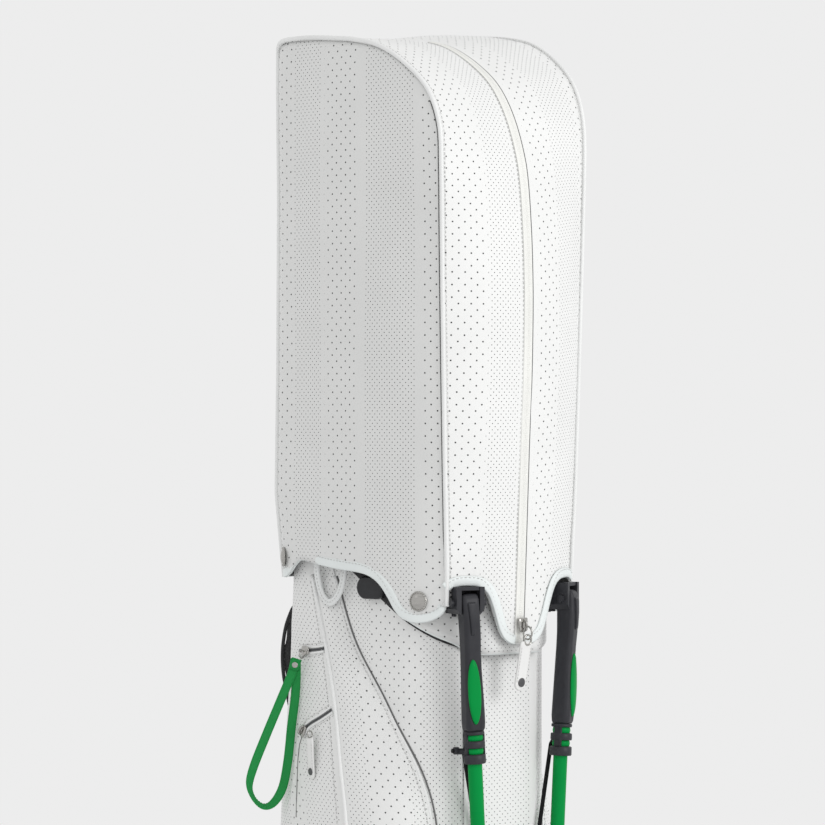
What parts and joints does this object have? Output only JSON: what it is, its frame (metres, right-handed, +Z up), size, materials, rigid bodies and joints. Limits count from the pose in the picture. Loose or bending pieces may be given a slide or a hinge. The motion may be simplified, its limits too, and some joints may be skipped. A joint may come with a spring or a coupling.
{
  "type": "golf stand bag",
  "caption": "Upright golf bag with a zipped perforated rain hood, folding prop legs on wire rods, side pockets and padded shoulder straps.",
  "frame": {"origin": "on the floor under the middle of the base", "axes": "+Z up the bag, -Y to the side with the legs, +Y to the spine, -X to the pocket with the ribbon loop"},
  "size_m": [0.2702, 0.2702, 1.3],
  "materials": {
    "hood_leather": "white perforated synthetic leather, satin",
    "binding": "white woven binding and piping",
    "white_leather": "white synthetic leather panels of the bag",
    "black_plastic": "black moulded plastic, fine texture",
    "black_fabric": "black woven fabric",
    "lining": "dark grey lining fabric",
    "rubber": "black rubber",
    "green_tube": "green painted aluminium tube",
    "green_plastic": "green moulded inlay",
    "green_webbing": "green woven ribbon",
    "rod_steel": "black coated steel wire",
    "chrome": "polished nickel plate",
    "steel": "plain steel",
    "zip_track": "white zip tape with moulded teeth",
    "tpu_loop": "white soft moulded loop",
    "tab_leather": "white leather pull tab with a dark rivet",
    "fibreglass": "fibreglass stay"
  },
  "bodies": {
    "bag": {"base_cup": "black_plastic", "base_pads": "rubber", "body_tube": "white_leather", "top_collar": "black_plastic", "collar_cuff": "black_fabric", "collar_apron": "hood_leather", "collar_boss": "black_plastic", "spine_plate": "white_leather", "spine_stays": "fibreglass", "front_panel": "white_leather", "divider_bar_long": "black_plastic", "divider_sheet_long": "lining", "divider_bars_cross": "black_plastic", "divider_sheets_cross": "lining", "pocket_left": "white_leather", "pocket_right": "white_leather", "ball_pocket": "white_leather", "left_pocket_zips": "zip_track", "right_pocket_zip": "zip_track", "ball_pocket_zip": "zip_track", "towel_loop": "tpu_loop", "grab_handle": "black_fabric", "strap_anchors": "black_plastic", "leg_bracket_left": "black_plastic", "leg_bracket_right": "black_plastic", "hinge_pins": "steel", "bracket_screws": "steel", "snap_studs": "chrome"},
    "hood": {"hood_shell": "hood_leather", "hood_binding": "binding", "hood_zip": "zip_track", "hood_piping": "binding", "hood_snap_caps": "chrome"},
    "hood_slider": {"hood_slider": "chrome"},
    "hood_pull": {"hood_pull": "tab_leather"},
    "leg_left": {"leg_head_left": "black_plastic", "leg_inlay_left": "green_plastic", "leg_tube_left": "green_tube", "leg_clamp_left": "black_plastic", "leg_foot_left": "rubber"},
    "leg_right": {"leg_head_right": "black_plastic", "leg_inlay_right": "green_plastic", "leg_tube_right": "green_tube", "leg_clamp_right": "black_plastic", "leg_foot_right": "rubber"},
    "rod_left": {"rod_left": "rod_steel"},
    "rod_right": {"rod_right": "rod_steel"},
    "kick_plate": {"kick_plate": "black_plastic"},
    "left_upper_slider": {"left_upper_slider": "chrome"},
    "lanyard": {"lanyard_loop": "green_webbing"},
    "left_lower_slider": {"left_lower_slider": "chrome"},
    "left_lower_tab": {"left_lower_tab": "tab_leather"},
    "right_slider": {"right_slider": "chrome"},
    "right_tab": {"right_tab": "tab_leather"},
    "ball_slider": {"ball_slider": "chrome"},
    "ball_tab": {"ball_tab": "tab_leather"},
    "strap_left": {"strap_pad_left": "black_fabric", "strap_web_left": "black_fabric"},
    "strap_right": {"strap_pad_right": "black_fabric", "strap_web_right": "black_fabric"}
  },
  "joints": [
    {"name": "hood_lift", "type": "slide", "parent": "bag", "child": "hood", "axis": [0, 0, 1], "range_m": [0, 0.6]},
    {"name": "hood_zip_run", "type": "slide", "parent": "hood", "child": "hood_slider", "axis": [0, -0.0416, 0.9991], "range_m": [0, 0.19]},
    {"name": "hood_pull_swing", "type": "hinge", "parent": "hood_slider", "child": "hood_pull", "pos_m": [-0.0055, -0.1246, 0.77], "axis": [-1, 0, 0], "range_deg": [0, 100]},
    {"name": "leg_left_swing", "type": "hinge", "parent": "bag", "child": "leg_left", "pos_m": [-0.065, -0.108, 0.795], "axis": [-0.9397, 0.342, 0], "range_deg": [0, 28]},
    {"name": "leg_right_swing", "type": "hinge", "parent": "bag", "child": "leg_right", "pos_m": [0.065, -0.108, 0.795], "axis": [-0.9397, -0.342, 0], "range_deg": [0, 28]},
    {"name": "rod_left_swing", "type": "hinge", "parent": "leg_left", "child": "rod_left", "pos_m": [-0.064, -0.093, 0.665], "axis": [-0.9397, 0.342, 0], "range_deg": [-33.7, 0]},
    {"name": "rod_right_swing", "type": "hinge", "parent": "leg_right", "child": "rod_right", "pos_m": [0.064, -0.093, 0.665], "axis": [-0.9397, -0.342, 0], "range_deg": [-33.7, 0]},
    {"name": "kick_tilt", "type": "hinge", "parent": "bag", "child": "kick_plate", "pos_m": [0, -0.012, 0.012], "axis": [-1, 0, 0], "range_deg": [0, 7.8]},
    {"name": "upper_zip_run", "type": "slide", "parent": "bag", "child": "left_upper_slider", "axis": [-0.0147, -0.9894, 0.1447], "range_m": [0, 0.014]},
    {"name": "lanyard_swing", "type": "hinge", "parent": "left_upper_slider", "child": "lanyard", "pos_m": [-0.1046, 0.0584, 0.743], "axis": [0.719, 0.695, 0], "range_deg": [0, 45]},
    {"name": "lower_zip_run", "type": "slide", "parent": "bag", "child": "left_lower_slider", "axis": [-0.0859, 0.3492, -0.9331], "range_m": [0, 0.035]},
    {"name": "lower_tab_swing", "type": "hinge", "parent": "left_lower_slider", "child": "left_lower_tab", "pos_m": [-0.1152, 0.0355, 0.6745], "axis": [0, 1, 0], "range_deg": [0, 90]},
    {"name": "right_zip_run", "type": "slide", "parent": "bag", "child": "right_slider", "axis": [0.0336, -0.0376, -0.9987], "range_m": [0, 0.14]},
    {"name": "right_tab_swing", "type": "hinge", "parent": "right_slider", "child": "right_tab", "pos_m": [0.1265, 0.0125, 0.578], "axis": [0, -1, 0], "range_deg": [0, 90]},
    {"name": "ball_zip_run", "type": "slide", "parent": "bag", "child": "ball_slider", "axis": [1, 0, 0], "range_m": [0, 0.05]},
    {"name": "ball_tab_swing", "type": "hinge", "parent": "ball_slider", "child": "ball_tab", "pos_m": [-0.0256, 0.1424, 0.256], "axis": [1, 0, 0], "range_deg": [0, 90]},
    {"name": "strap_left_swing", "type": "hinge", "parent": "bag", "child": "strap_left", "pos_m": [-0.039, 0.1, 0.806], "axis": [1, 0, 0], "range_deg": [0, 45]},
    {"name": "strap_right_swing", "type": "hinge", "parent": "bag", "child": "strap_right", "pos_m": [0.039, 0.1, 0.806], "axis": [1, 0, 0], "range_deg": [0, 45]}
  ],
  "couplings": [
    {"joint": "leg_right_swing", "follows": "leg_left_swing", "ratio": 1},
    {"joint": "rod_left_swing", "follows": "leg_left_swing", "ratio": -1.2005},
    {"joint": "rod_right_swing", "follows": "leg_left_swing", "ratio": -1.2005},
    {"joint": "kick_tilt", "follows": "leg_left_swing", "ratio": 0.275}
  ]
}
